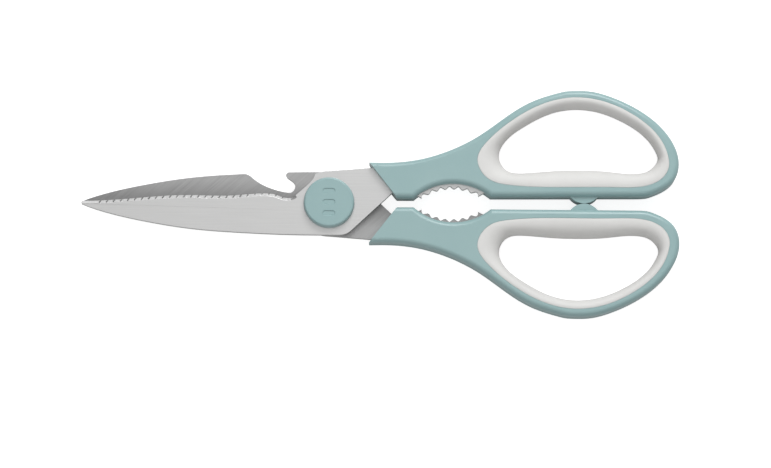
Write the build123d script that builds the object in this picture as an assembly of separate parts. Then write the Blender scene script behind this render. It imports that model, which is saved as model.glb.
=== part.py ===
"""Poultry shears: two pivoting halves, each a steel blade with a moulded handle and a soft grip.

Millimetres. The pivot axis is X = Y = 0, blades point to -X and handles to +X.
The front half has its blade on top (+Z) and its handle at +Y. The rear half is
the same shape turned half a turn about X. The shears lie on Z = 0.
"""

from build123d import *
import math
import os

# overall sizes
blade_reach = 93.0            # pivot axis to the blade tips
handle_reach = 131.1          # pivot axis to the far end of the finger loops
loop_rise = 42.75             # mid-line to the outer side of a finger loop
handle_thickness = 11.0

# blades
blade_thickness = 2.5
blade_gap = 0.2               # between the inner faces of the two blades
tip_width = 1.6               # of the blunt blade tip
bevel_width = 1.3             # of the cutting bevel, seen from above
bevel_land = 0.3              # unbevelled height at the cutting edge
serration_pitch = 2.64
serration_start = 6.8         # from the blade tip to the first notch
serration_end = 1.0           # from the last notch to the pivot step
serration_width = 0.45
serration_depth = 1.3
serration_lean = 25.0         # how far the notches lean towards the pivot
shallow_x = -29.0             # from here to the pivot they are half as deep
diagonal_angle = 43.0         # of the straight edge that runs into the handle
diagonal_margin = 1.2         # between the hub circle and that edge
notch_reach = 15.1            # pivot axis to the bottom of the bone notch
notch_length = 16.0           # ramp of the notch, along the spine
notch_floor = 4.15            # mid-line to the bottom of the notch
notch_round = 4.0             # of the blunt corner between the spine and the ramp

# pivot
screw_diameter = 6.0
thread_diameter = 4.6         # pitch diameter; the threads are left plain
flat_width = 5.0              # across the two flats of the screw neck
pivot_clearance = 0.05        # radial, in the blade that turns
head_diameter = 12.0
head_round = 1.2
nut_diameter = 11.0
nut_thickness = 1.4
nut_slot = 1.2
spring_diameter = 10.4
spring_thickness = 0.35
spring_cone = 0.25            # rise of the conical spring washer
spring_play = 0.2             # radial, around the screw
washer_diameter = 15.0
washer_recess = 0.3           # depth of its seat in the front blade
washer_clearance = 0.05       # under the washer and under the screw head
cap_diameter = 19.1
cap_height = 3.0
cap_wall = 0.9
cap_draft = 0.3               # how much smaller the top radius is
cap_round = 0.8
cap_fit = 0.05                # between the cap's collar and the nut
hub_margin = 2.55             # blade around the cap

# moulded handle
neck_height = 15.2            # of the arm, at the blade
front_x = 15.0                # where the arm begins, on its outer side
bolster_x = 25.5              # where it begins, beside the mid-line
bolster_gap = 1.75            # mid-line to the bolster
bar_gap = 2.65                # mid-line to the inner bar
corner_gap = 2.4              # mid-line to the bar's corner at the nutcracker
edge_round = 2.0
loop_start = 55.5             # where the grip insert begins
outer_wall = 2.75             # handle around the grip insert: outer side, far end, inner bar
end_wall = 3.75
bar_wall = 3.15
stop_x = 95.5
stop_width = 10.4
stop_clearance = 0.05         # each stop to the mid-line, when closed

# soft grip insert
grip_outer = 3.8              # its width: outer side, far end, inner bar, near end
grip_end = 4.1
grip_bar = 5.9
grip_near = 8.25
grip_land = 0.2               # share of the width that is flat, beside the handle

# nutcracker
recess_x = 46.5
recess_rise = 7.35            # mid-line to the middle of the recess
recess_radius = 22.25
tooth_count = 8
tooth_depth = 1.0
tooth_shift = 0.55            # of the tooth arc's centre towards the pivot
tooth_show = 1.8              # steel that shows past the handle, in the middle
tooth_radius = 19.2           # of the arc through the tooth tips
tooth_first = -35.8           # angle of the first tooth on that arc
tooth_last = 31.3

# tang, inside the handle
tang_cover = 3.2              # of plastic, on the outer side
neck_cover = 1.9              # the same, where the blade enters the handle
bolster_cover = 3.2           # of plastic, on the inner side, at the bolster
first_cover = 1.95            # the same, before the first tooth
first_flank = 3.0             # length of that tooth's outer flank
last_flank = 2.2              # length and rise of the last tooth's outer flank
last_rise = 1.2
tang_step = 1.5               # height of the tang's end, past the last tooth
root_radius = 6.5             # between the spine and the diagonal edge
tang_shape = ((50.5, 0.26), (42.0, 0.127), (30.0, 0.02))   # X and the share of the arm's rise
anchor_diameter = 4.5
anchor_places = ((31.0, 9.0), (44.0, 12.5))

half_height = handle_thickness / 2
clear = 5.0                   # how far a cutting shape runs past what it cuts
hub_radius = cap_diameter / 2 + hub_margin
blade_top = blade_gap / 2 + blade_thickness
tooth_centre = (recess_x - tooth_shift, recess_rise - tooth_show - tooth_radius)


def box_points(shape, left, right, bottom, top):
    """Points of a unit-square shape, placed in a box."""
    return [(left + x * (right - left), bottom + y * (top - bottom)) for x, y in shape]


def arm_point(x, share):
    """A point on the outer side of the arm, at a share of its rise from neck to loop."""
    return (x, neck_height + share * (loop_rise - neck_height))


def loop_x(share):
    """X at a share of the finger loop's length."""
    return loop_start + share * (handle_reach - loop_start)


def loop_y(share):
    """Y at a share of the loop's height above its inner bar."""
    return bar_gap + share * (loop_rise - bar_gap)


def polar(centre, radius, degrees):
    """A point on a circle, with the angle taken clockwise from +Y."""
    angle = math.radians(degrees)
    return (centre[0] + radius * math.sin(angle), centre[1] + radius * math.cos(angle))


def slab(face, bottom, top):
    """A flat face raised into a plate between two heights."""
    return Pos(0, 0, bottom) * extrude(face, top - bottom)


def disc(diameter, bottom, top):
    return slab(Circle(diameter / 2), bottom, top)


# ---------------------------------------------------------------- blade outline

def spine_edge():
    """The thick back of the blade, from the tip to the pivot."""
    shape = [(0.903, 0.3), (0.731, 0.6), (0.538, 0.825), (0.323, 0.94)]
    tip = (-blade_reach + 0.5, -tip_width / 2)
    middle = [(-blade_reach * x, -hub_radius * y) for x, y in shape]
    return Spline(tip, *middle, (0, -hub_radius), tangents=[(1, -0.4), (1, 0)])


def cutting_edge():
    """The sharp side, from the step by the pivot to the tip. It dips under the bone notch."""
    dip = -notch_reach
    near = [(dip + 3.0, 3.3), (dip, 2.1), (dip - 2.6, 2.5), (dip - 5.6, 3.5), (dip - 9.0, 3.85)]
    far = [(-blade_reach * x, y) for x, y in ((0.39, 3.0), (0.562, 3.1), (0.737, 2.25), (0.903, 1.0))]
    return Spline(*near, *far, (-blade_reach + 0.5, tip_width / 2))


def shoulder_edge():
    """The step from the cutting edge up to the round hub."""
    start = cutting_edge() @ 0
    end = polar((0, 0), hub_radius, -26)
    shape = [(0.897, -34.5), (0.877, -50.6), (0.942, -64.6)]
    middle = [polar((0, 0), hub_radius * share, angle) for share, angle in shape]
    return Spline(end, *middle, start)


def tooth_wave():
    """The nutcracker teeth, as a wave along an arc."""
    steps = 2 * (tooth_count - 1)
    turn = (tooth_last - tooth_first) / steps
    radii = [tooth_radius + tooth_depth * (i % 2) for i in range(steps + 1)]
    return Spline(*[polar(tooth_centre, r, tooth_first + i * turn) for i, r in enumerate(radii)])


def diagonal_point(y):
    """A point of the straight edge between the spine and the handle."""
    angle = math.radians(diagonal_angle)
    offset = hub_radius + diagonal_margin
    return ((y * math.cos(angle) + offset) / math.sin(angle), y)


def blade_face():
    """Outline of the front blade with its tang."""
    spine = spine_edge()
    cutting = cutting_edge()
    shoulder = shoulder_edge()
    wave = tooth_wave()
    hub_arc = CenterArc((0, 0), hub_radius, 90, 26)
    tip = ThreePointArc(cutting @ 1, (-blade_reach, 0), spine @ 0)
    corner = diagonal_point(-hub_radius)
    hidden = bolster_gap + bolster_cover
    root = FilletPolyline((0, -hub_radius), corner, diagonal_point(hidden), radius=root_radius)
    first = wave @ 0
    flank = (first.X - first_flank, bolster_gap + first_cover)
    lower = Polyline(diagonal_point(hidden), flank, first)
    last = wave @ 1
    far_end = (last.X + last_flank, last.Y + last_rise)
    tang = [offset_down(arm_point(x, share)) for x, share in tang_shape]
    neck = (front_x, neck_height - neck_cover)
    upper = Polyline(last, far_end, (far_end[0], far_end[1] + tang_step), *tang, neck, (0, hub_radius))
    return make_face([spine, root, lower, wave, upper, hub_arc, shoulder, cutting, tip])


def offset_down(point):
    return (point[0], point[1] - tang_cover)


# ---------------------------------------------------------------- blades

def bevel_cutter():
    """What grinding takes off above the cutting edge, slanted across the thickness."""
    cutting = cutting_edge()
    near = cutting @ 0
    tip = cutting @ 1
    left = -blade_reach - clear
    away = Polyline(tip, (left, tip.Y), (left, 2 * hub_radius), (near.X - hub_radius, 2 * hub_radius), near)
    ground = make_face([cutting, away])
    slope = Vector(0, -bevel_width, blade_thickness - bevel_land)
    return Pos(0, 0, blade_gap / 2 + bevel_land) * extrude(ground, slope.length, dir=slope)


def serrations():
    """Narrow leaning notches at an even pitch along the cutting edge."""
    cutting = cutting_edge()
    count = int((cutting.length - serration_start - serration_end) / serration_pitch)
    distances = [serration_start + i * serration_pitch for i in range(count)]
    return [serration(cutting @ (1 - distance / cutting.length)) for distance in distances]


def serration(place):
    """One notch through the blade, at a point of the cutting edge."""
    depth = serration_depth / 2 if place.X > shallow_x else serration_depth
    slot = Rot(0, 0, 90 - serration_lean) * SlotOverall(2 * depth, serration_width)
    return Pos(place.X, place.Y, 0) * slab(slot, 0, 2 * blade_top)


def bone_notch():
    """The hooked notch in the spine: a ramp from the tip side, a round floor and a hook."""
    floor = (-notch_reach, -notch_floor)
    ramp_start = (-notch_reach - notch_length, -hub_radius)
    ramp = Spline(ramp_start, (floor[0] - 9, -6.7), (floor[0] - 5, -5.2), (floor[0] - 1.2, -4.3), floor)
    hook = Spline(floor, (floor[0] + 1.3, -4.55), (floor[0] + 2.3, -6.9), (floor[0] + 0.9, -8.8),
                  (floor[0] - 0.8, -10.05), (floor[0] - 1.15, -11.0), (floor[0] - 0.4, -11.85),
                  (floor[0] + 1.2, -hub_radius - 0.4))
    outside = -hub_radius - clear
    mouth = Polyline(hook @ 1, ((hook @ 1).X, outside), (ramp_start[0], outside), ramp_start)
    return slab(make_face([ramp, hook, mouth]), 0, 2 * blade_top)


def plain_blade():
    """The blade plate with its bevel and anchor holes, as it lies in the front half."""
    plate = slab(blade_face(), blade_gap / 2, blade_top) - bevel_cutter()
    for x, y in anchor_places:
        plate -= Pos(x, y, 0) * disc(anchor_diameter, 0, 2 * blade_top)
    return plate


def screw_neck(bottom, top):
    """The part of the screw with two flats."""
    return disc(screw_diameter, bottom, top) & slab(Rectangle(flat_width, 2 * screw_diameter), bottom, top)


def front_blade():
    recess = disc(washer_diameter + 2 * washer_clearance, 0, blade_gap / 2 + washer_recess)
    return plain_blade() - serrations() - recess - screw_neck(0, 2 * blade_top)


def rear_blade():
    bore = disc(screw_diameter + 2 * pivot_clearance, 0, 2 * blade_top)
    notched = plain_blade() - bore - bone_notch()
    corner = Vector(-notch_reach - notch_length, -hub_radius, (blade_gap + blade_thickness) / 2)
    nearest = notched.edges().sort_by(lambda e: (e.center() - corner).length)[0]
    return turned(fillet(nearest, notch_round))


def turned(shape):
    """The rear half's place for a shape made in the front half."""
    return Rot(180, 0, 0) * shape


# ---------------------------------------------------------------- handles

def handle_face():
    """Outline of the handle, with the nutcracker recess in its inner side."""
    top = (loop_x(0.516), loop_rise)
    arm_shape = [(24.0, 0), (34.0, 0.045), (44.0, 0.153), (loop_start, 0.358), (loop_x(0.155), 0.659),
                 (loop_x(0.298), 0.878), (loop_x(0.413), 0.976)]
    arm_points = [arm_point(x, share) for x, share in arm_shape]
    arm = Spline((front_x, neck_height), *arm_points, top, tangents=[(1, -0.03), (1, 0)])
    end_shape = [(0.661, 0.9455), (0.8175, 0.8015), (0.958, 0.5475), (1.0, 0.321), (0.963, 0.123),
                 (0.869, 0.022)]
    bar_end = (loop_x(0.745), bar_gap)
    end_points = [(loop_x(x), loop_y(y)) for x, y in end_shape]
    end = Spline(top, *end_points, bar_end, tangents=[(1, 0), (-1, 0)])
    middle = (recess_x, recess_rise)
    near = (recess_x - recess_half_width(bolster_gap), bolster_gap)
    far = (recess_x + recess_half_width(corner_gap), corner_gap)
    bar = Line(bar_end, far)
    recess = ThreePointArc(far, middle, near)
    front = Polyline(near, (bolster_x, bolster_gap), (front_x, neck_height))
    return make_face([arm, end, bar, recess, front])


def recess_half_width(y):
    """Half the recess's width at a height above the mid-line."""
    return math.sqrt(recess_radius ** 2 - (y - recess_rise + recess_radius) ** 2)


def grip_box():
    """Left, right, bottom and top of the grip insert's outer curve."""
    return (loop_start, handle_reach - end_wall, bar_gap + bar_wall, loop_rise - outer_wall)


def grip_points():
    shape = [(1.0, 0.30), (0.957, 0.537), (0.80, 0.829), (0.66, 0.958), (0.50, 1.0), (0.337, 0.923),
             (0.18, 0.740), (0.055, 0.515), (0.0, 0.316), (0.049, 0.103), (0.168, 0.021), (0.337, 0.0),
             (0.509, 0.0), (0.73, 0.0), (0.891, 0.024), (0.976, 0.130)]
    return box_points(shape, *grip_box())


def hole_points():
    shape = [(1.0, 0.286), (0.945, 0.514), (0.783, 0.809), (0.628, 0.958), (0.491, 1.0), (0.320, 0.927),
             (0.166, 0.738), (0.038, 0.489), (0.0, 0.265), (0.046, 0.053), (0.166, 0.005), (0.337, 0.039),
             (0.509, 0.051), (0.680, 0.034), (0.860, 0.001), (0.964, 0.082)]
    left, right, bottom, top = grip_box()
    return box_points(shape, left + grip_near, right - grip_end, bottom + grip_bar, top - grip_outer)


def closed_curve(points):
    return make_face(Spline(*points, periodic=True))


def handle_body():
    """The moulded handle, before the blade's tang is taken out of it."""
    body = slab(handle_face(), -half_height, half_height)
    rims = body.edges().filter_by(lambda e: abs(abs(e.center().Z) - half_height) < 0.01)
    front_centre = Vector((front_x + bolster_x) / 2, (neck_height + bolster_gap) / 2, 0)
    rounded = [e for e in rims if (e.center() - front_centre).length > half_height + 1]
    body = fillet(rounded, edge_round)
    return body - slab(closed_curve(grip_points()), -half_height, half_height) + stop_bump()


def stop_bump():
    """The segment that meets its twin when the shears are closed."""
    depth = bar_gap - stop_clearance
    radius = ((stop_width / 2) ** 2 + depth ** 2) / (2 * depth)
    round_face = Pos(stop_x, stop_clearance + radius) * Circle(radius)
    below = Pos(stop_x, bar_gap) * Rectangle(stop_width, 2 * depth)
    return slab(round_face & below, edge_round - half_height, half_height - edge_round)


def grip_body():
    """The soft ring in the loop. Its section is a rounded roll towards the finger hole."""
    outer = grip_points()
    inner = hole_points()
    sections = []
    for degrees in range(-90, 91, 20):
        angle = math.radians(degrees)
        share = (1 - grip_land) * (1 - math.cos(angle))
        points = [(a + share * (b - a), c + share * (d - c)) for (a, c), (b, d) in zip(inner, outer)]
        sections.append(Pos(0, 0, half_height * math.sin(angle)) * closed_curve(points))
    return slab(closed_curve(outer), -half_height, half_height) - loft(sections)


# ---------------------------------------------------------------- pivot

def pivot_screw():
    """Flat head behind the rear blade, round shank, neck with two flats, threaded end."""
    head = disc(head_diameter, -half_height, -blade_top - washer_clearance)
    head = fillet(head.edges().sort_by(Axis.Z)[0], head_round)
    seat = blade_gap / 2 + washer_recess
    shank = disc(screw_diameter, -blade_top - washer_clearance, seat)
    thread = disc(thread_diameter, blade_top, nut_bottom() + nut_thickness)
    return head + shank + screw_neck(seat, blade_top) + thread


def nut_bottom():
    return blade_top + spring_thickness + spring_cone


def pivot_nut():
    nut = disc(nut_diameter, nut_bottom(), nut_bottom() + nut_thickness)
    slot = slab(Rectangle(2 * nut_diameter, nut_slot), nut_bottom() + nut_thickness / 2, half_height)
    return nut - slot - disc(thread_diameter, 0, half_height)


def spring_washer():
    """A conical washer: its rim on the front blade, its inner edge under the nut."""
    inner = screw_diameter / 2 + spring_play
    outer = spring_diameter / 2
    section = Polyline((inner, 0, blade_top + spring_cone), (outer, 0, blade_top),
                       (outer, 0, blade_top + spring_thickness),
                       (inner, 0, blade_top + spring_cone + spring_thickness), close=True)
    return revolve(make_face(section), Axis.Z)


def friction_washer():
    """The thin washer that keeps the blades apart, in its seat in the front blade."""
    bottom = washer_clearance - blade_gap / 2
    ring = disc(washer_diameter, bottom, blade_gap / 2 + washer_recess)
    return ring - disc(screw_diameter, -blade_gap, blade_top)


def pivot_cap():
    """The moulded cap over the nut, with a collar that grips the nut."""
    top = blade_top + cap_height
    radius = cap_diameter / 2
    outside = Pos(0, 0, blade_top + cap_height / 2) * Cone(radius, radius - cap_draft, cap_height)
    outside = fillet(outside.edges().sort_by(Axis.Z)[-1], cap_round)
    collar = disc(nut_diameter + 2 * cap_fit + 2 * cap_wall, nut_bottom(), top)
    inside = disc(cap_diameter - 2 * cap_draft - 2 * cap_wall, blade_top, top - cap_wall)
    bore = disc(nut_diameter + 2 * cap_fit, blade_top, top - cap_wall)
    return (outside - inside) + (collar & outside) - bore


def write(name, shape):
    """Lift a piece so that the shears rest on Z = 0, and write it."""
    export_step(Pos(0, 0, half_height) * shape, f"parts/{name}.step")


os.makedirs("parts", exist_ok=True)
front_steel = front_blade()
rear_steel = rear_blade()
write("front_blade", front_steel)
write("rear_blade", rear_steel)
write("front_handle", handle_body() - front_steel)
write("rear_handle", turned(handle_body()) - rear_steel)
write("front_grip", grip_body())
write("rear_grip", turned(grip_body()))
write("pivot_screw", pivot_screw())
write("pivot_nut", pivot_nut())
write("spring_washer", spring_washer())
write("friction_washer", friction_washer())
write("pivot_cap", pivot_cap())
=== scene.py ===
import bpy, bmesh, math
import numpy as np
from mathutils import Matrix, Vector


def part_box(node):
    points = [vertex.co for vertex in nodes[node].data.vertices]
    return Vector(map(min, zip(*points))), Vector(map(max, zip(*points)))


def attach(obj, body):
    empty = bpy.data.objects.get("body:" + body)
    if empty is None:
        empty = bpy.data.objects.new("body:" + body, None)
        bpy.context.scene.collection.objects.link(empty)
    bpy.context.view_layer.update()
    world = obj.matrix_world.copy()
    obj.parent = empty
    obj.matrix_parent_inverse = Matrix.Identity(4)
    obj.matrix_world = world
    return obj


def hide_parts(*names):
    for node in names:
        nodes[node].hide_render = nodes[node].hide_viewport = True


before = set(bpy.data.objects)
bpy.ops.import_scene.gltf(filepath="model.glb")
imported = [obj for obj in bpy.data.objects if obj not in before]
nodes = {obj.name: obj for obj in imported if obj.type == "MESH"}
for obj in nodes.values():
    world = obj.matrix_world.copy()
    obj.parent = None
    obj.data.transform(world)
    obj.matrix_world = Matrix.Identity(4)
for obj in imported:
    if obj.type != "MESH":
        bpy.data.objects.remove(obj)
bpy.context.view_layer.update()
mm = 0.001
handleLow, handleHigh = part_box("front_handle")
midHeight = (handleLow.z + handleHigh.z) / 2
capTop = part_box("pivot_cap")[1].z
print("frame loaded:", len(nodes), "nodes")


def sectionLoops(node, height):
    # closed outlines of a CAD node cut at one height, longest first
    bm = bmesh.new()
    bm.from_mesh(node.data)
    bmesh.ops.remove_doubles(bm, verts=bm.verts, dist=1e-7)
    cut = bmesh.ops.bisect_plane(bm, geom=bm.verts[:] + bm.edges[:] + bm.faces[:],
                                 plane_co=(0, 0, height), plane_no=(0, 0, 1))["geom_cut"]
    edges = {e for e in cut if isinstance(e, bmesh.types.BMEdge)}
    loops = []
    while edges:
        edge = edges.pop()
        start, here = edge.verts
        loop = [start.co.copy()]
        while here != start:
            loop.append(here.co.copy())
            following = next((e for e in here.link_edges if e in edges), None)
            if following is None:
                break
            edges.discard(following)
            here = following.other_vert(here)
        loops.append(np.array([(p.x, p.y) for p in loop]))
    bm.free()
    return sorted(loops, key=lambda p: -loopLength(p))


def loopLength(points):
    return np.linalg.norm(np.roll(points, -1, 0) - points, axis=1).sum()


def anticlockwise(points):
    x, y = points.T
    area = (x * np.roll(y, -1) - y * np.roll(x, -1)).sum()
    return points if area > 0 else points[::-1]


def smoothRun(points, count, spare=0):
    # a run of points, resampled evenly on a smooth curve; spare end points only steer it
    along = np.r_[0, np.cumsum(np.linalg.norm(np.diff(points, axis=0), axis=1))]
    want = np.linspace(along[spare], along[-1 - spare], count)
    if len(points) < 3:
        return np.array([np.interp(want, along, points[:, k]) for k in (0, 1)]).T
    slope = np.gradient(points, along, axis=0)
    left = np.clip(np.searchsorted(along, want, side="right") - 1, 0, len(points) - 2)
    span = (along[left + 1] - along[left])[:, None]
    t = (want - along[left])[:, None] / span
    return ((2 * t**3 - 3 * t**2 + 1) * points[left] + (t**3 - 2 * t**2 + t) * span * slope[left]
            + (3 * t**2 - 2 * t**3) * points[left + 1] + (t**3 - t**2) * span * slope[left + 1])


def evenLoop(points, spacing, cornerAngle=20):
    # a closed outline with even points that keeps its sharp corners
    points = anticlockwise(points)
    points = points[np.linalg.norm(np.roll(points, -1, 0) - points, axis=1) > 1e-6]
    ahead = np.roll(points, -1, 0) - points
    behind = points - np.roll(points, 1, 0)
    turn = np.arctan2(ahead[:, 1], ahead[:, 0]) - np.arctan2(behind[:, 1], behind[:, 0])
    turn = np.abs((turn + np.pi) % (2 * np.pi) - np.pi)
    corners = list(np.where(turn > math.radians(cornerAngle))[0])
    if not corners:
        closed = np.vstack([points[-3:], points, points[:4]])
        return smoothRun(closed, int(loopLength(points) / spacing), 3)[:-1]
    runs = []
    for a, b in zip(corners, corners[1:] + [corners[0] + len(points)]):
        run = points[np.arange(a, b + 1) % len(points)]
        length = np.linalg.norm(np.diff(run, axis=0), axis=1).sum()
        runs.append(smoothRun(run, max(2, int(length / spacing) + 1))[:-1])
    return np.vstack(runs)


def newObject(name, bm, material):
    mesh = bpy.data.meshes.new(name)
    bmesh.ops.recalc_face_normals(bm, faces=bm.faces)
    bm.to_mesh(mesh)
    bm.free()
    piece = bpy.data.objects.new(name, mesh)
    bpy.context.scene.collection.objects.link(piece)
    for one in (material if isinstance(material, list) else [material]):
        mesh.materials.append(one)
    return piece


def cleanCopy(nodeName, name, material, flatAngle):
    # an own copy of a CAD node, with its split vertices joined and its flat facets merged
    bm = bmesh.new()
    bm.from_mesh(nodes[nodeName].data)
    bmesh.ops.remove_doubles(bm, verts=bm.verts, dist=1e-6)
    bmesh.ops.dissolve_limit(bm, angle_limit=math.radians(flatAngle), verts=bm.verts, edges=bm.edges)
    return newObject(name, bm, material)


def softenEdges(piece, width, segments, sharpAngle, clamp=True):
    soften = piece.modifiers.new("soften", "BEVEL")
    soften.width = width
    soften.segments = segments
    soften.limit_method = "ANGLE"
    soften.angle_limit = math.radians(sharpAngle)
    soften.use_clamp_overlap = clamp
    applyModifiers(piece)


def applyModifiers(piece):
    graph = bpy.context.evaluated_depsgraph_get()
    mesh = bpy.data.meshes.new_from_object(piece.evaluated_get(graph), preserve_all_data_layers=True,
                                           depsgraph=graph)
    piece.modifiers.clear()
    piece.data = mesh


def smoothByArea(piece, sharpAngle=40):
    # rounded edges shade smoothly while big flat faces stay flat
    piece.data.shade_smooth()
    piece.data.set_sharp_from_angle(angle=math.radians(sharpAngle))
    weighted = piece.modifiers.new("areaNormals", "WEIGHTED_NORMAL")
    weighted.weight = 100
    weighted.keep_sharp = True
    applyModifiers(piece)


def turnedCopy(piece, name):
    # the rear half's twin of a front piece: half a turn about X at mid-height
    twin = piece.copy()
    twin.data = piece.data.copy()
    twin.name = name
    bpy.context.scene.collection.objects.link(twin)
    up = Matrix.Translation((0, 0, midHeight))
    twin.data.transform(up @ Matrix.Rotation(math.pi, 4, "X") @ up.inverted())
    return twin


def newMaterial(name, **settings):
    material = bpy.data.materials.new(name)
    material.use_nodes = True
    shader = material.node_tree.nodes["Principled BSDF"]
    for socket, value in settings.items():
        shader.inputs[socket.replace("_", " ")].default_value = value
    return material, material.node_tree, shader


def addNode(tree, kind, **inputs):
    node = tree.nodes.new(kind)
    for socket, value in inputs.items():
        node.inputs[socket.replace("_", " ")].default_value = value
    return node


def objectPlace(tree, scale=(1, 1, 1), turn=0):
    # place on the piece, turned about Z first and stretched after
    coordinate = tree.nodes.new("ShaderNodeTexCoord")
    turned = addNode(tree, "ShaderNodeMapping", Rotation=(0, 0, turn))
    stretched = addNode(tree, "ShaderNodeMapping", Scale=scale)
    tree.links.new(coordinate.outputs["Object"], turned.inputs["Vector"])
    tree.links.new(turned.outputs["Vector"], stretched.inputs["Vector"])
    return stretched.outputs["Vector"]


def noise(tree, place, scale, detail=3.0, roughness=0.5):
    texture = addNode(tree, "ShaderNodeTexNoise", Scale=scale, Detail=detail, Roughness=roughness)
    tree.links.new(place, texture.inputs["Vector"])
    return texture.outputs["Fac"]


def between(tree, factor, low, high, fromLow=0.35, fromHigh=0.65):
    ranged = addNode(tree, "ShaderNodeMapRange", From_Min=fromLow, From_Max=fromHigh, To_Min=low, To_Max=high)
    tree.links.new(factor, ranged.inputs["Value"])
    return ranged.outputs["Result"]


def maths(tree, operation, first, second):
    node = tree.nodes.new("ShaderNodeMath")
    node.operation = operation
    for socket, value in zip(node.inputs, (first, second)):
        if isinstance(value, (int, float)):
            socket.default_value = value
        else:
            tree.links.new(value, socket)
    return node.outputs[0]


def colourBetween(tree, factor, first, second, fromLow=0.35, fromHigh=0.65):
    mix = tree.nodes.new("ShaderNodeMix")
    mix.data_type = "RGBA"
    mix.inputs["A"].default_value = (*first, 1)
    mix.inputs["B"].default_value = (*second, 1)
    tree.links.new(between(tree, factor, 0, 1, fromLow, fromHigh), mix.inputs["Factor"])
    return mix.outputs["Result"]


def addBump(tree, shader, height, distance, strength):
    bump = addNode(tree, "ShaderNodeBump", Strength=strength, Distance=distance)
    tree.links.new(height, bump.inputs["Height"])
    tree.links.new(bump.outputs["Normal"], shader.inputs["Normal"])


def mouldedPlastic():
    look = {"colour": (0.300, 0.452, 0.458), "second": (0.325, 0.475, 0.478), "roughness": (0.28, 0.36),
            "broad": 45, "grain": 2600, "grainDepth": 0.04 * mm, "grainStrength": 0.5}
    material, tree, shader = newMaterial("mouldedPlastic", Specular_IOR_Level=0.45)
    broad = noise(tree, objectPlace(tree), look["broad"], 4)
    tree.links.new(colourBetween(tree, broad, look["colour"], look["second"]), shader.inputs["Base Color"])
    grain = noise(tree, objectPlace(tree), look["grain"], 2)
    tree.links.new(between(tree, broad, *look["roughness"]), shader.inputs["Roughness"])
    addBump(tree, shader, grain, look["grainDepth"], look["grainStrength"])
    return material


def softRubber():
    look = {"colour": (0.70, 0.697, 0.683), "second": (0.745, 0.742, 0.728), "roughness": (0.55, 0.68),
            "broad": 60, "grain": 1800, "grainDepth": 0.05 * mm, "grainStrength": 0.5}
    material, tree, shader = newMaterial("softRubber", Specular_IOR_Level=0.35)
    broad = noise(tree, objectPlace(tree), look["broad"], 4)
    tree.links.new(colourBetween(tree, broad, look["colour"], look["second"]), shader.inputs["Base Color"])
    tree.links.new(between(tree, broad, *look["roughness"]), shader.inputs["Roughness"])
    grain = noise(tree, objectPlace(tree), look["grain"], 2)
    addBump(tree, shader, grain, look["grainDepth"], look["grainStrength"])
    return material


def satinSteel():
    # fine grain along the blade
    look = {"colour": (0.565, 0.565, 0.562), "second": (0.60, 0.60, 0.597), "roughness": (0.36, 0.42),
            "stretch": (50, 2200, 2200), "grainDepth": 0.004 * mm, "grainStrength": 0.3}
    material, tree, shader = newMaterial("satinSteel", Metallic=1.0)
    fine = noise(tree, objectPlace(tree, look["stretch"]), 1, 4, 0.6)
    tree.links.new(colourBetween(tree, fine, look["colour"], look["second"]), shader.inputs["Base Color"])
    tree.links.new(between(tree, fine, *look["roughness"]), shader.inputs["Roughness"])
    addBump(tree, shader, fine, look["grainDepth"], look["grainStrength"])
    return material


def edgeSteelAndHighlight():
    # freshly ground cutting bevels, marked across the edge: paler and duller, the paler colour partly real
    # grinding and partly a painted highlight
    look = {"colour": (0.67, 0.67, 0.67), "second": (0.79, 0.79, 0.79), "roughness": (0.45, 0.6),
            "stretch": (2600, 300, 300), "markDepth": 0.006 * mm, "markStrength": 0.3}
    material, tree, shader = newMaterial("edgeSteelAndHighlight", Metallic=0.35)
    marks = noise(tree, objectPlace(tree, look["stretch"]), 1, 3)
    tree.links.new(colourBetween(tree, marks, look["colour"], look["second"]), shader.inputs["Base Color"])
    tree.links.new(between(tree, marks, *look["roughness"]), shader.inputs["Roughness"])
    addBump(tree, shader, marks, look["markDepth"], look["markStrength"])
    return material


def groundSteelPaintedShade():
    # diagonal grinding marks on the inner faces, with painted shade darkening them beside the mid-line, near
    # the front blade's edge
    look = {"colour": (0.32, 0.32, 0.32), "second": (0.46, 0.46, 0.46), "roughness": (0.44, 0.56),
            "paintedShadeLevel": 0.68, "paintedShadeFrom": 9.0 * mm, "paintedShadeTo": 2.5 * mm, "stretch": (60, 2300, 60),
            "markAngle": -41, "markDepth": 0.01 * mm, "markStrength": 0.4}
    material, tree, shader = newMaterial("groundSteelPaintedShade", Metallic=1.0)
    marks = noise(tree, objectPlace(tree, look["stretch"], math.radians(look["markAngle"])), 1, 4, 0.6)
    parts = tree.nodes.new("ShaderNodeSeparateXYZ")
    tree.links.new(objectPlace(tree), parts.inputs[0])
    # painted shade: the colour is scaled darker towards the mid-line
    away = maths(tree, "ABSOLUTE", parts.outputs["Y"], 0)
    shade = between(tree, away, look["paintedShadeLevel"], 1.0, look["paintedShadeTo"], look["paintedShadeFrom"])
    tone = tree.nodes.new("ShaderNodeVectorMath")
    tone.operation = "SCALE"
    marked = colourBetween(tree, marks, look["colour"], look["second"], 0.25, 0.75)
    tree.links.new(marked, tone.inputs[0])
    tree.links.new(shade, tone.inputs["Scale"])
    tree.links.new(tone.outputs[0], shader.inputs["Base Color"])
    tree.links.new(between(tree, marks, *look["roughness"]), shader.inputs["Roughness"])
    addBump(tree, shader, marks, look["markDepth"], look["markStrength"])
    return material


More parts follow.
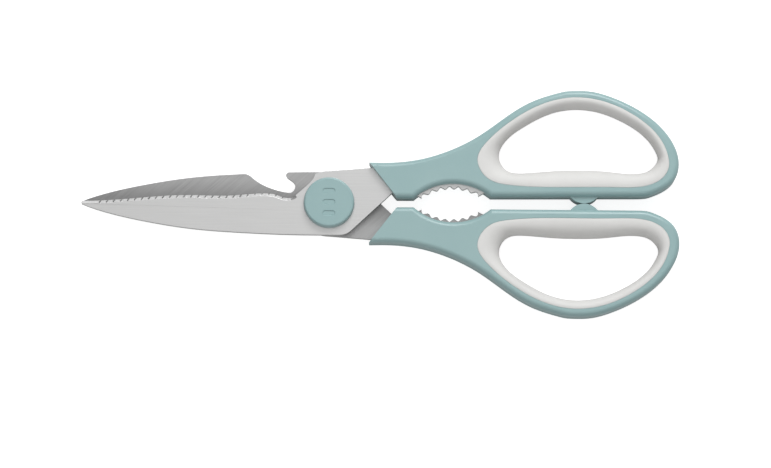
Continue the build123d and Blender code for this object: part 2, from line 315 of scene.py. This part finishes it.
def turnedSteel():
    # fine rings about the pivot axis
    look = {"colour": (0.62, 0.62, 0.61), "second": (0.72, 0.72, 0.71), "roughness": 0.32,
            "rings": 900, "wobble": 0.4, "ringDepth": 0.01 * mm, "ringStrength": 0.4}
    material, tree, shader = newMaterial("turnedSteel", Metallic=1.0, Roughness=look["roughness"])
    rings = tree.nodes.new("ShaderNodeTexWave")
    rings.wave_type = "RINGS"
    rings.rings_direction = "Z"
    rings.inputs["Scale"].default_value = look["rings"]
    rings.inputs["Distortion"].default_value = look["wobble"]
    tree.links.new(objectPlace(tree), rings.inputs["Vector"])
    height = rings.outputs["Fac"]
    shade = colourBetween(tree, height, look["colour"], look["second"], 0, 1)
    tree.links.new(shade, shader.inputs["Base Color"])
    addBump(tree, shader, height, look["ringDepth"], look["ringStrength"])
    return material


def acetal():
    look = {"colour": (0.68, 0.67, 0.62), "second": (0.74, 0.73, 0.68), "roughness": (0.35, 0.45),
            "mottle": 300, "mottleDepth": 0.03 * mm, "mottleStrength": 0.4}
    material, tree, shader = newMaterial("acetal")
    tone = noise(tree, objectPlace(tree), look["mottle"])
    tree.links.new(colourBetween(tree, tone, look["colour"], look["second"]), shader.inputs["Base Color"])
    tree.links.new(between(tree, tone, *look["roughness"]), shader.inputs["Roughness"])
    addBump(tree, shader, tone, look["mottleDepth"], look["mottleStrength"])
    return material


plastic = mouldedPlastic()
rubber = softRubber()
satin = satinSteel()
groundAndPaintedShade = groundSteelPaintedShade()
bevelledAndHighlight = edgeSteelAndHighlight()
turned = turnedSteel()
print("materials made")


def makeHandle():
    shape = {"flatAngle": 0.3, "softWidth": 0.25 * mm, "softSteps": 3, "sharpAngle": 30}
    piece = cleanCopy("front_handle", "frontHandle", plastic, shape["flatAngle"])
    softenEdges(piece, shape["softWidth"], shape["softSteps"], shape["sharpAngle"])
    smoothByArea(piece)
    return piece


frontHandle = makeHandle()
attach(frontHandle, "front_half")
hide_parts("front_handle")
rearHandle = turnedCopy(frontHandle, "rearHandle")
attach(rearHandle, "rear_half")
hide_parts("rear_handle")
print("handles made")


def makeGrip():
    # rim: share of the width, and how far the edge drops there
    shape = {"around": 260, "spacing": 0.4 * mm, "land": 0.2, "rollSteps": 14,
             "rim": ((0.96, 0), (0.985, 0.06 * mm), (1.0, 0.25 * mm))}
    loops = sectionLoops(nodes["front_grip"], midHeight + 0.001 * mm)
    outer, inner = [evenLoop(p, shape["spacing"]) for p in loops[:2]]
    centre = (inner.max(0) + inner.min(0)) / 2
    inner = evenLoop(inner, loopLength(inner) / shape["around"])
    angles = np.arctan2(*(inner - centre).T[::-1])
    outerAngles = np.arctan2(*(outer - centre).T[::-1])
    order = np.argsort(outerAngles)
    outerAngles, outer = outerAngles[order], outer[order]
    outerAngles = np.r_[outerAngles - 2 * np.pi, outerAngles, outerAngles + 2 * np.pi]
    wide = np.vstack([outer, outer, outer])
    outer = np.array([np.interp(angles, outerAngles, wide[:, k]) for k in (0, 1)]).T
    half = handleHigh.z - midHeight
    profile = []
    for step in range(shape["rollSteps"] + 1):
        angle = math.pi / 2 * step / shape["rollSteps"]
        profile.append(((1 - shape["land"]) * (1 - math.cos(angle)), half * math.sin(angle)))
    profile += [(share, half - drop) for share, drop in shape["rim"]]
    profile += [(share, -height) for share, height in reversed(profile[1:])]
    bm = bmesh.new()
    rings = []
    for share, height in profile:
        points = inner + share * (outer - inner)
        rings.append([bm.verts.new((x, y, midHeight + height)) for x, y in points])
    count = len(inner)
    for low, high in zip(rings, rings[1:] + rings[:1]):
        for a in range(count):
            b = (a + 1) % count
            bm.faces.new((low[a], low[b], high[b], high[a]))
    piece = newObject("frontGrip", bm, rubber)
    piece.data.shade_smooth()
    return piece


frontGrip = makeGrip()
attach(frontGrip, "front_half")
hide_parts("front_grip")
rearGrip = turnedCopy(frontGrip, "rearGrip")
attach(rearGrip, "rear_half")
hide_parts("rear_grip")
print("grips made")


def makeBlade(nodeName, name, outward):
    # satin outside, ground inside with painted shade beside the mid-line, and a paler cutting bevel whose
    # colour is partly a painted highlight
    shape = {"flatAngle": 0.6, "edgeBreak": 0.08 * mm, "breakSteps": 2, "sharpAngle": 30,
             "innerFace": -0.9, "bevelTilt": (0.15, 0.6), "highlightBevelEnd": -14 * mm}
    piece = cleanCopy(nodeName, name, [satin, groundAndPaintedShade, bevelledAndHighlight], shape["flatAngle"])
    softenEdges(piece, shape["edgeBreak"], shape["breakSteps"], shape["sharpAngle"], clamp=False)
    steepest, flattest = shape["bevelTilt"]
    for face in piece.data.polygons:
        rise = face.normal.z * outward
        # the paler bevel colour, partly a painted highlight, is kept to faces beyond the bevel end along the
        # blade
        onBevelHighlight = steepest < rise < flattest and face.center.x < shape["highlightBevelEnd"]
        face.material_index = 1 if rise < shape["innerFace"] else 2 if onBevelHighlight else 0
    smoothByArea(piece, shape["sharpAngle"])
    return piece


frontBlade = makeBlade("front_blade", "frontBlade", 1)
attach(frontBlade, "front_half")
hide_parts("front_blade")
rearBlade = makeBlade("rear_blade", "rearBlade", -1)
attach(rearBlade, "rear_half")
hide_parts("rear_blade")
print("blades made")


def dress(nodeName, material):
    node = nodes[nodeName]
    node.data.materials.clear()
    node.data.materials.append(material)


dress("pivot_screw", turned)
dress("pivot_nut", turned)
dress("spring_washer", turned)
dress("friction_washer", acetal())


def pillOutline(length, width, steps):
    # a slot shape lying along X, round at both ends
    points = []
    for end in (1, -1):
        for step in range(steps + 1):
            angle = end * math.pi / 2 * (2 * step / steps - 1)
            x = (length - width) / 2 + width / 2 * math.cos(angle)
            points.append((end * x, width / 2 * math.sin(angle)))
    return points


def makeCap():
    # the cap's top carries three pressed bars
    shape = {"flatAngle": 0.3, "bars": 3, "barLength": 4.6 * mm, "barWidth": 1.9 * mm, "barPitch": 4.2 * mm,
             "barDepth": 0.3 * mm, "barEndSteps": 12, "past": 1 * mm, "softWidth": 0.09 * mm, "softSteps": 2,
             "sharpAngle": 35}
    piece = cleanCopy("pivot_cap", "pivotCap", plastic, shape["flatAngle"])
    outline = pillOutline(shape["barLength"], shape["barWidth"], shape["barEndSteps"])
    bm = bmesh.new()
    for k in range(shape["bars"]):
        middle = (k - (shape["bars"] - 1) / 2) * shape["barPitch"]
        low = [bm.verts.new((x, middle + y, capTop - shape["barDepth"])) for x, y in outline]
        high = [bm.verts.new((x, middle + y, capTop + shape["past"])) for x, y in outline]
        bm.faces.new(low)
        bm.faces.new(high)
        for a in range(len(outline)):
            b = (a + 1) % len(outline)
            bm.faces.new((low[a], low[b], high[b], high[a]))
    cutter = newObject("barCutter", bm, plastic)
    press = piece.modifiers.new("press", "BOOLEAN")
    press.operation = "DIFFERENCE"
    press.solver = "EXACT"
    press.object = cutter
    applyModifiers(piece)
    bpy.data.objects.remove(cutter)
    softenEdges(piece, shape["softWidth"], shape["softSteps"], shape["sharpAngle"])
    smoothByArea(piece)
    return piece


pivotCap = makeCap()
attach(pivotCap, "front_half")
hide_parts("pivot_cap")
print("pivot dressed")


def makeFloor():
    # white to the camera and in reflections, but with painted contact shade in reflections seen from what
    # nearly touches it, and a plain grey to the light
    floor = {"size": 3.0, "below": 0.1 * mm, "tone": 0.5, "shownWhite": 0.84, "mirroredWhite": 0.45,
             "paintedContactShade": (0, 20 * mm)}
    bpy.ops.mesh.primitive_plane_add(size=floor["size"], location=(0, 0, -floor["below"]))
    plane = bpy.context.object
    plane.name = "floor"
    material = bpy.data.materials.new("floorWhite")
    material.use_nodes = True
    tree = material.node_tree
    tree.nodes.clear()
    output = tree.nodes.new("ShaderNodeOutputMaterial")
    diffuse = addNode(tree, "ShaderNodeBsdfDiffuse", Color=(floor["tone"],) * 3 + (1,))
    glow = addNode(tree, "ShaderNodeEmission", Color=(1, 1, 1, 1))
    path = tree.nodes.new("ShaderNodeLightPath")
    shown = maths(tree, "MULTIPLY", path.outputs["Is Camera Ray"], floor["shownWhite"])
    bounced = maths(tree, "MAXIMUM", path.outputs["Is Glossy Ray"], path.outputs["Is Transmission Ray"])
    # painted contact shade: the reflected white fades for rays shorter than 20 mm
    clear = between(tree, path.outputs["Ray Length"], 0, floor["mirroredWhite"], *floor["paintedContactShade"])
    mirrored = maths(tree, "MULTIPLY", bounced, clear)
    tree.links.new(maths(tree, "MAXIMUM", shown, mirrored), glow.inputs["Strength"])
    both = tree.nodes.new("ShaderNodeAddShader")
    tree.links.new(diffuse.outputs[0], both.inputs[0])
    tree.links.new(glow.outputs[0], both.inputs[1])
    tree.links.new(both.outputs[0], output.inputs["Surface"])
    plane.data.materials.append(material)


def makeLight(name, lamp):
    distance, target = 1.2, (0.03, 0, 0)
    data = bpy.data.lights.new(name, "AREA")
    data.shape = "SQUARE"
    data.size = lamp["size"]
    data.energy = lamp["power"]
    light = bpy.data.objects.new(name, data)
    bpy.context.scene.collection.objects.link(light)
    azimuth, elevation = math.radians(lamp["azimuth"]), math.radians(lamp["elevation"])
    level = math.cos(elevation)
    direction = Vector((math.sin(azimuth) * level, math.cos(azimuth) * level, math.sin(elevation)))
    light.location = Vector(target) + distance * direction
    light.rotation_euler = direction.to_track_quat("Z", "Y").to_euler()


def makeWorld():
    room = {"light": 0.33, "shownWhite": 1.0}
    world = bpy.data.worlds.new("softRoom")
    bpy.context.scene.world = world
    world.use_nodes = True
    tree = world.node_tree
    tree.nodes.clear()
    output = tree.nodes.new("ShaderNodeOutputWorld")
    back = addNode(tree, "ShaderNodeBackground", Color=(1, 1, 1, 1))
    path = tree.nodes.new("ShaderNodeLightPath")
    strength = addNode(tree, "ShaderNodeMapRange", To_Min=room["light"], To_Max=room["shownWhite"])
    tree.links.new(path.outputs["Is Camera Ray"], strength.inputs["Value"])
    tree.links.new(strength.outputs["Result"], back.inputs["Strength"])
    tree.links.new(back.outputs[0], output.inputs["Surface"])


def makeCamera():
    view = {"elevation": 82.0, "roll": 0.214, "distance": 1.4, "width": 289.1 * mm,
            "aim": (21.2 * mm, -11.35 * mm), "sensor": 36, "far": 20}
    data = bpy.data.cameras.new("camera")
    data.sensor_width = view["sensor"]
    data.lens = view["sensor"] * view["distance"] / view["width"]
    data.clip_end = view["far"]
    camera = bpy.data.objects.new("camera", data)
    bpy.context.scene.collection.objects.link(camera)
    elevation = math.radians(view["elevation"])
    direction = Vector((0, -math.cos(elevation), math.sin(elevation)))
    camera.location = Vector((*view["aim"], midHeight)) + view["distance"] * direction
    camera.rotation_euler = direction.to_track_quat("Z", "Y").to_euler()
    camera.rotation_euler.rotate_axis("Z", math.radians(view["roll"]))
    bpy.context.scene.camera = camera


makeFloor()
lamps = {"key": {"size": 0.6, "power": 10.0, "azimuth": 14, "elevation": 40},
         "overhead": {"size": 0.9, "power": 1.9, "azimuth": 0, "elevation": 84},
         "fill": {"size": 1.0, "power": 2.4, "azimuth": 190, "elevation": 45}}
for name, lamp in lamps.items():
    makeLight(name, lamp)
makeWorld()
makeCamera()
bpy.context.scene.view_settings.view_transform = "Standard"
print("floor, lights and camera made")
